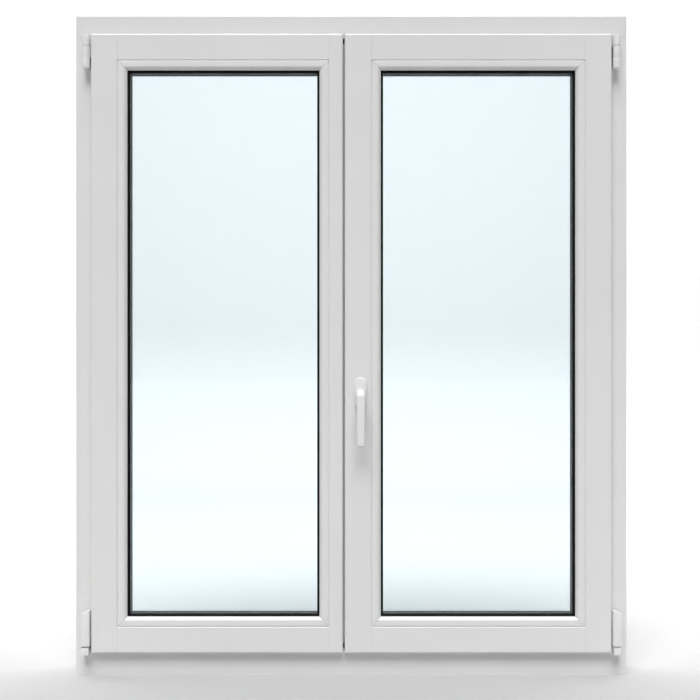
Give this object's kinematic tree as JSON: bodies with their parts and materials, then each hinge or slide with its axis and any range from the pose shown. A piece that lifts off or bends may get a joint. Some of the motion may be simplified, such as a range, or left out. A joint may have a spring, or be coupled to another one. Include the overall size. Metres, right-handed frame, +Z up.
{
  "type": "casement window",
  "caption": "Inward-opening casement window: two glazed leaves in a white timber frame, one tilt-and-turn with a lever handle, one side-hung behind it.",
  "frame": {"origin": "middle of the sill's underside, in the middle of the frame's depth", "axes": "+X along the width, +Z up, -Y towards the room, from which the leaves open"},
  "size_m": [1.18, 0.141, 1.41],
  "materials": {
    "white_timber": "satin white lacquer on timber",
    "white_metal": "satin white powder coat",
    "glass": "clear float glass",
    "rubber_seal": "matt black elastomer",
    "edge_black": "matt dark spacer and sealant",
    "block_plastic": "matt moulded plastic",
    "cap_plastic": "matt white plastic",
    "rail_aluminium": "anodised, satin",
    "zinc_steel": "zinc plated"
  },
  "bodies": {
    "frame": {"frame_head": "white_timber", "frame_sill": "white_timber", "frame_jamb_left": "white_timber", "frame_jamb_right": "white_timber", "rain_rail": "rail_aluminium", "frame_seal": "rubber_seal", "fixing_caps": "cap_plastic", "top_hinge_bearing_left": "white_metal", "top_hinge_bearing_right": "white_metal", "top_hinge_pins": "zinc_steel", "bottom_hinge_bearing_left": "white_metal", "bottom_hinge_bearing_right": "white_metal", "hinge_screws": "zinc_steel", "head_keep": "zinc_steel", "sill_keep": "zinc_steel"},
    "left_leaf": {"left_hinge_stile": "white_timber", "left_meeting_stile": "white_timber", "left_top_rail": "white_timber", "left_bottom_rail": "white_timber", "left_inner_pane": "glass", "left_outer_pane": "glass", "left_spacer": "edge_black", "left_edge_sealant": "edge_black", "left_glazing_beads": "white_timber", "left_inner_gasket": "rubber_seal", "left_outer_gasket": "rubber_seal", "left_glazing_blocks": "block_plastic", "left_overlap_seal": "rubber_seal", "left_bottom_band": "white_metal", "left_top_lug": "white_metal", "meeting_batten": "white_timber", "striker": "zinc_steel", "bolt_plates": "zinc_steel"},
    "top_bolt": {"top_bolt": "zinc_steel"},
    "bottom_bolt": {"bottom_bolt": "zinc_steel"},
    "turn_bracket": {"right_corner_band": "white_metal"},
    "right_leaf": {"right_hinge_stile": "white_timber", "right_meeting_stile": "white_timber", "right_top_rail": "white_timber", "right_bottom_rail": "white_timber", "right_inner_pane": "glass", "right_outer_pane": "glass", "right_spacer": "edge_black", "right_edge_sealant": "edge_black", "right_glazing_beads": "white_timber", "right_inner_gasket": "rubber_seal", "right_outer_gasket": "rubber_seal", "right_glazing_blocks": "block_plastic", "right_overlap_seal": "rubber_seal", "tilt_bush": "zinc_steel", "lock_faceplate": "zinc_steel", "gearbox_case": "zinc_steel", "stay_guide": "zinc_steel", "handle_rosette": "white_metal", "rosette_screws": "zinc_steel"},
    "stay_arm": {"right_stay_arm": "zinc_steel"},
    "handle": {"handle_lever": "white_metal", "handle_spindle": "zinc_steel", "gear_hub": "zinc_steel"},
    "lock_rod": {"lock_rod": "zinc_steel"}
  },
  "joints": [
    {"name": "left_turn", "type": "hinge", "parent": "frame", "child": "left_leaf", "pos_m": [-0.565, -0.052, 0], "axis": [0, 0, -1], "range_deg": [0, 90]},
    {"name": "right_turn", "type": "hinge", "parent": "frame", "child": "turn_bracket", "pos_m": [0.565, -0.052, 0], "axis": [0, 0, 1], "range_deg": [0, 90]},
    {"name": "right_tilt", "type": "hinge", "parent": "turn_bracket", "child": "right_leaf", "pos_m": [0, -0.0425, 0.057], "axis": [1, 0, 0], "range_deg": [0, 6.5]},
    {"name": "stay_arm_swing", "type": "hinge", "parent": "turn_bracket", "child": "stay_arm", "pos_m": [0.565, -0.052, 0], "axis": [0, 0, 1], "range_deg": [0, 20]},
    {"name": "handle_turn", "type": "hinge", "parent": "right_leaf", "child": "handle", "pos_m": [0.02, -0.052, 0.603], "axis": [0, -1, 0], "range_deg": [0, 180]},
    {"name": "lock_rod_slide", "type": "slide", "parent": "right_leaf", "child": "lock_rod", "axis": [0, 0, 1], "range_m": [0, 0.0361]},
    {"name": "top_bolt_slide", "type": "slide", "parent": "left_leaf", "child": "top_bolt", "axis": [0, 0, -1], "range_m": [0, 0.018]},
    {"name": "bottom_bolt_slide", "type": "slide", "parent": "left_leaf", "child": "bottom_bolt", "axis": [0, 0, 1], "range_m": [0, 0.018]}
  ],
  "couplings": [
    {"joint": "stay_arm_swing", "follows": "right_tilt", "ratio": 2.965},
    {"joint": "lock_rod_slide", "follows": "handle_turn", "m_per_rad": 0.011459}
  ]
}
